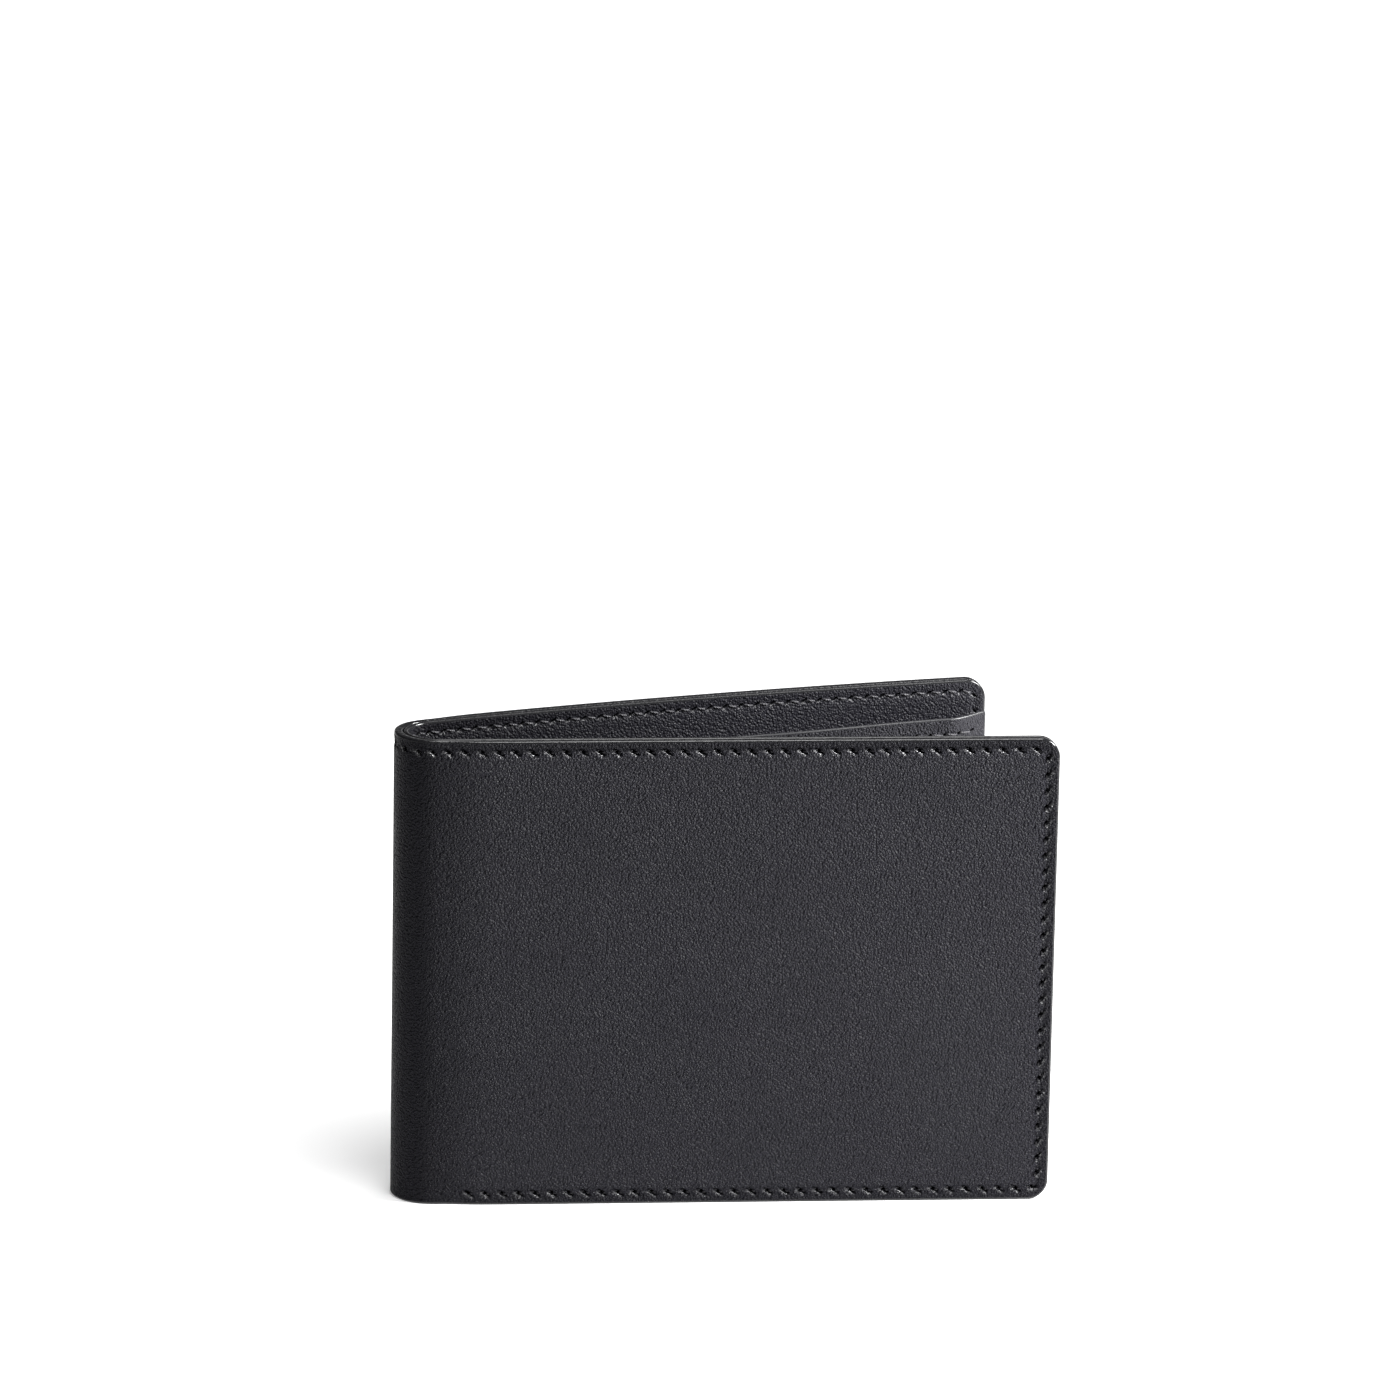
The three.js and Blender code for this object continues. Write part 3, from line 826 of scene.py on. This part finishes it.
def ease(s):
    """The outer leather starts to turn a little before the spine does, on both halves."""
    from_rear = s - SPINE_LENGTH
    return EASE_DEPTH * (np.exp(-((s / EASE_REACH) ** 2)) + np.exp(-((from_rear / EASE_REACH) ** 2)))


def seam_channel(part):
    """The leather is drawn in along the seam."""

    def pull(u, z):
        from_seam = edge_distance(part, u, z) - SEAM_INSET
        return CHANNEL_DEPTH * np.exp(-((from_seam / CHANNEL_WIDTH) ** 2))

    return pull


def register(obj, nodes, part=None, body=None):
    """Hides the plain parts a piece replaces, then bakes the transform of a piece of the shell or parents
    any other piece to the empty of its body.
    """
    if nodes:
        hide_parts(*nodes)
    if part:
        bend_with_hinge(obj)
    else:
        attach(obj, body)
    return obj


def strip_nodes(kind, part):
    """The nodes of the plain part that a piece of the shell replaces."""
    if part == "front":
        return [f"front_{kind}"]
    if part == "rear":
        return [f"rear_{kind}", f"spine_{kind}_5"]
    return [f"spine_{kind}_{PARTS.index(part)}"]


HEM_STITCH = 2.6
hem_samples = {}
hem_slits = {}
for half in LENGTH:
    run = np.linspace(POCKET_START, LENGTH[half] - CORNER_R, 40)
    hem_samples[half] = polyline_samples([(to_s(half, u), WALL_TOP - HEM_DROP) for u in run], HEM_STITCH)
    hem_slits[half] = Slits(
        hem_samples[half], SLIT_SLANT, half_length=0.5, half_width=0.22, pull=0.5, lip=0.04
    )

for part in PARTS:
    outer = layer(
        f"outer_leather_{part}",
        part,
        OUTER,
        0.0,
        HEIGHT,
        [CORNER_R] * 4,
        [OUTER_LEATHER, OUTER_PAINT],
        rim=0.38,
        fine=("near",),
        slits={"near": outer_slits},
        shape={"near": seam_channel(part)},
        near_shift=ease,
        # painted shade along the border of the outer leather
        burnished=True,
    )
    register(outer, strip_nodes("outer_leather", part), part)
    lining = layer(
        f"lining_{part}",
        part,
        LINING,
        0.0,
        HEIGHT - LINING_INSET,
        [CORNER_R] * 4,
        [LINING_LEATHER, PAINT],
        inset=LINING_INSET,
        rim=0.4,
        fine=("far",),
        slits={"far": lining_slits},
        shape={"far": seam_channel(part)},
        # painted shade over the first 60 mm from the fold, where the halves shade the lining
        darkened_to=60,
    )
    register(lining, strip_nodes("lining", part), part)
    wall = layer(
        f"bill_wall_{part}",
        part,
        WALL,
        0.0,
        WALL_TOP,
        [CORNER_R, CORNER_R, 1.2, 1.2],
        [WALL_LEATHER, WALL_PAINT],
        inset=WALL_INSET,
        rim=0.35,
        leans=part in LENGTH,
        dips=part == "rear",
        fine=("far",) if part in LENGTH else (),
        slits={"far": hem_slits[part]} if part in LENGTH else {},
    )
    register(wall, strip_nodes("bill_wall", part), part)


def outer_face(s, z):
    return CHANNEL_DEPTH + float(ease(s))


def lining_face(s, z):
    return LINING[1] - 0.1


def shell_threads(kind, rows):
    for part, (verts, faces) in rows.items():
        obj = new_mesh(f"{kind}_{part}", verts, faces, [THREAD], sharp=0)
        register(obj, strip_nodes(kind, part), part)


# on the inside the seam shows only above the bill wall
TOP_SLITS = [x for x in SLITS if x[1] > WALL_TOP + 0.6]
outer_rows = stitch_row(SLITS, outer_face, 1, proud=-0.19, radius=0.22, cross=0.35, sunk=0.75)
shell_threads("edge_thread", outer_rows)
inner_rows = stitch_row(TOP_SLITS, lining_face, -1, proud=0.04, radius=0.19, cross=0.4, sunk=0.6)
shell_threads("lining_thread", inner_rows)

# ---- the pockets ----
for half in LENGTH:
    body = f"{half}_half"
    backing = layer(
        f"pocket_backing_{half}",
        half,
        BACKING,
        0.0,
        BACKING_TOP,
        [1.0, CORNER_R, 0.5, 0.5],
        [CLOTH, CLOTH],
        inset=POCKET_INSET,
        start=POCKET_START,
        rim=0.08,
        leans=True,
    )
    register(backing, [f"{half}_pocket_backing"], body=body)
    for level, (depths, mouth) in SLOTS.items():
        slot = layer(
            f"card_slot_{level}_{half}",
            half,
            depths,
            0.0,
            mouth,
            [1.0, CORNER_R, 0.6, 0.6],
            [SLOT_LEATHER, PAINT],
            inset=POCKET_INSET,
            start=POCKET_START,
            rim=0.2,
            leans=True,
        )
        register(slot, [f"{half}_card_slot_{level}"], body=body)


def wall_dip(half, u, z):
    """How far the mouth of the rear note compartment sags."""
    if half == "front":
        return 0.0
    return MOUTH_DIP * float(mouth_shape(half, u)) * float(ramp(z, WALL_TOP - MOUTH_BAND, WALL_TOP))


def side_threads(name, half, samples, depth, node):
    """A row sewn through the layers of one half, lying on a face that leans with the mouth."""

    def surface(s, z):
        return depth + float(gape(half, to_u(half, s), z))

    def sag(s, z):
        return wall_dip(half, to_u(half, s), z)

    rows = stitch_row(samples, surface, -1, proud=0.06, radius=0.17, cross=0.3, sunk=0.3, sag=sag)
    verts, faces = [], []
    for row in rows.values():
        join((verts, faces), row)
    obj = new_mesh(f"{name}_{half}", verts, faces, [THREAD], sharp=0)
    register(obj, [node], body=f"{half}_half")


def pocket_seam(half):
    """Down beside the fold, along the bottom and up the outer side, to just below the lowest mouth."""
    bend = LENGTH[half] - CORNER_R
    turn = CORNER_R - SEAM_INSET
    high = SLOTS["bottom"][1] - 1.5
    return (
        [(POCKET_SEAM, high)]
        + corner(POCKET_SEAM + turn, SEAM_INSET + turn, turn, 180, 270)
        + corner(bend, CORNER_R, turn, -90, 0)
        + [(bend + turn, high)]
    )


for half in LENGTH:
    side_threads("hem_thread", half, hem_samples[half], WALL[1], f"{half}_hem_thread")
    samples = polyline_samples([(to_s(half, u), z) for u, z in pocket_seam(half)], STITCH)
    side_threads("pocket_thread", half, samples, SLOTS["bottom"][0][1], f"{half}_pocket_thread")

# ---- floor, light and camera, in metres ----
FLOOR = 3.0  # half its side
SHEET_FADES = {"X": (-0.6, -0.17), "Y": (-0.5, -0.13)}  # where the white sheet fades to a grey table


def floor_material():
    """A white sheet that ends a little way to the left of the wallet and in front of it."""
    m = Shader("pale_floor")
    axes = m.node("SeparateXYZ", {0: m.coord}).outputs
    fades = []
    for axis, (low, high) in SHEET_FADES.items():
        ends = {"Value": axes[axis], "From Min": low, "From Max": high}
        fades.append(m.node("MapRange", ends, interpolation_type="SMOOTHSTEP").outputs["Result"])
    sheet = m.node("Math", {0: fades[0], 1: fades[1]}, operation="MULTIPLY").outputs[0]
    glow = m.node("Math", {0: sheet, 1: 0.27}, operation="MULTIPLY").outputs[0]
    return m.finish(
        Base_Color=m.mix_color(sheet, (0.5, 0.5, 0.5, 1), (0.92, 0.92, 0.92, 1)),
        Emission_Color=(1, 1, 1, 1),
        Emission_Strength=glow,
        Roughness=0.9,
        Specular_IOR_Level=0.1,
    )


floor_mesh = bpy.data.meshes.new("floor")
floor_corners = [(-FLOOR, -FLOOR, 0), (FLOOR, -FLOOR, 0), (FLOOR, FLOOR, 0), (-FLOOR, FLOOR, 0)]
floor_mesh.from_pydata(floor_corners, [], [(0, 1, 2, 3)])
floor_mesh.materials.append(floor_material())
floor = bpy.data.objects.new("floor", floor_mesh)
bpy.context.scene.collection.objects.link(floor)

# a dim studio with a pale cove round the horizon
COVE = {"From Min": 0.12, "From Max": 0.25, "To Min": 0.6, "To Max": 0.05}
world = bpy.data.worlds.new("studio")
bpy.context.scene.world = world
world.use_nodes = True
nodes, links = world.node_tree.nodes, world.node_tree.links
coord = nodes.new("ShaderNodeTexCoord")
axes = nodes.new("ShaderNodeSeparateXYZ")
links.new(coord.outputs["Generated"], axes.inputs[0])
cove = nodes.new("ShaderNodeMapRange")
cove.interpolation_type = "SMOOTHSTEP"
for key, value in COVE.items():
    cove.inputs[key].default_value = value
links.new(axes.outputs["Z"], cove.inputs["Value"])
links.new(cove.outputs["Result"], nodes["Background"].inputs["Strength"])
nodes["Background"].inputs["Color"].default_value = (1, 1, 1, 1)


def aim(obj, toward_light):
    obj.rotation_euler = Vector(toward_light).to_track_quat("Z", "Y").to_euler()
    bpy.context.scene.collection.objects.link(obj)


def soft_sun(name, toward_light, angle, strength):
    """A large, far softbox: even light over the whole floor."""
    data = bpy.data.lights.new(name, "SUN")
    data.angle = math.radians(angle)
    data.energy = strength
    aim(bpy.data.objects.new(name, data), toward_light)


def softbox(name, position, target, size, power):
    data = bpy.data.lights.new(name, "AREA")
    data.shape = "SQUARE"
    data.size = size
    data.energy = power
    obj = bpy.data.objects.new(name, data)
    obj.location = position
    aim(obj, Vector(position) - Vector(target))


soft_sun("overhead_softbox", (0.1, 0.2, 1.0), 26, 1.0)
soft_sun("front_overhead_softbox", (0.16, -0.32, 1.0), 24, 1.9)
softbox("right_softbox", (0.26, -0.07, 0.22), (0, -0.01, 0.05), 0.12, 3.5)

CAMERA_DISTANCE = 1.5
CAMERA_PITCH = math.radians(16.034)
CAMERA_YAW = math.radians(-4.974)
CAMERA_ROLL = math.radians(-1.039)
# it looks at a point 43 mm along the front half and 7 mm above its top edge
AIM = np.array([43.29 - CENTRE_X, -CENTRE_Y, 89.11]) * 0.001
cp, sp = math.cos(CAMERA_PITCH), math.sin(CAMERA_PITCH)
cy, sy = math.cos(CAMERA_YAW), math.sin(CAMERA_YAW)
forward = np.array([-sy * cp, cy * cp, -sp])
right = np.array([cy, sy, 0.0])
up = np.array([-sy * sp, cy * sp, cp])
cr, sr = math.cos(CAMERA_ROLL), math.sin(CAMERA_ROLL)
right, up = right * cr - up * sr, right * sr + up * cr
eye = AIM - CAMERA_DISTANCE * forward
camera_data = bpy.data.cameras.new("camera")
camera_data.sensor_width = 36
camera_data.lens = 230.28
camera_data.clip_end = 20
camera = bpy.data.objects.new("camera", camera_data)
camera.matrix_world = Matrix(
    [[right[i], up[i], -forward[i], eye[i]] for i in range(3)] + [[0, 0, 0, 1]]
)
bpy.context.scene.collection.objects.link(camera)
bpy.context.scene.camera = camera
bpy.context.scene.view_settings.view_transform = "Standard"
